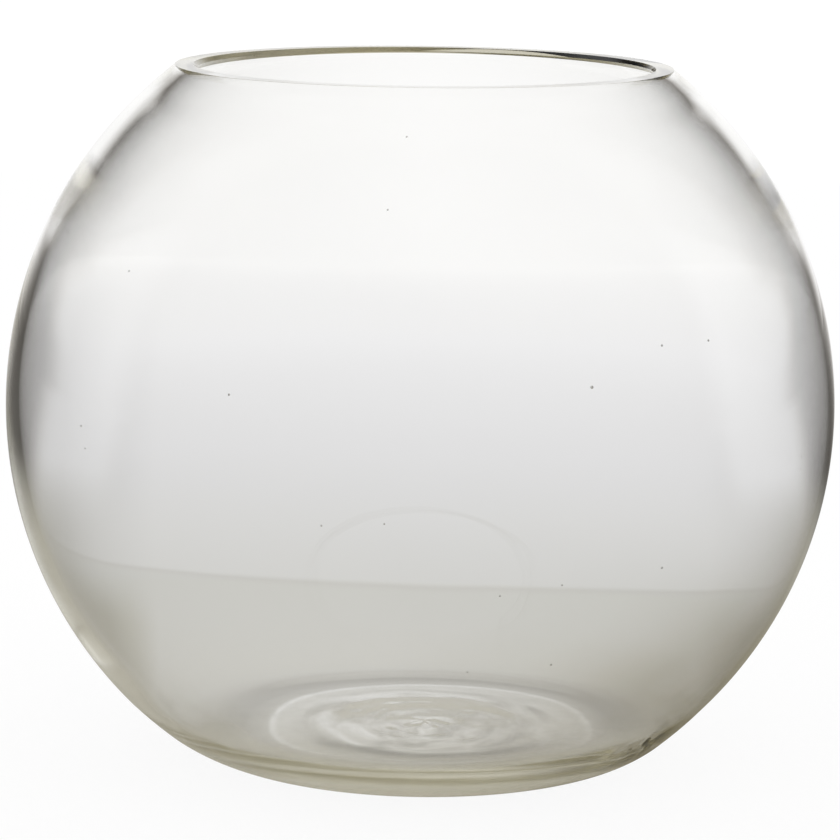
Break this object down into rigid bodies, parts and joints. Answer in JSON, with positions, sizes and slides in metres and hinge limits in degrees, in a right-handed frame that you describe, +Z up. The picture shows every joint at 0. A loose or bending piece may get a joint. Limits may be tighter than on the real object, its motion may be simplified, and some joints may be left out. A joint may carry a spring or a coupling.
{
  "type": "rose bowl vase",
  "caption": "Squat round clear-glass bowl vase with a flat cut mouth, thick floor and ground foot, for cut or floating flowers.",
  "frame": {"origin": "centre of the foot's underside, on the surface the vase stands on", "axes": "+Z up through the mouth, along the vase's axis of revolution"},
  "size_m": [0.2032, 0.2032, 0.171],
  "materials": {
    "clear_glass": "clear blown soda-lime glass, fire-polished inside and out, mouth cut and polished flat"
  },
  "bodies": {
    "root": {"glass_bowl": "clear_glass"}
  },
  "joints": []
}
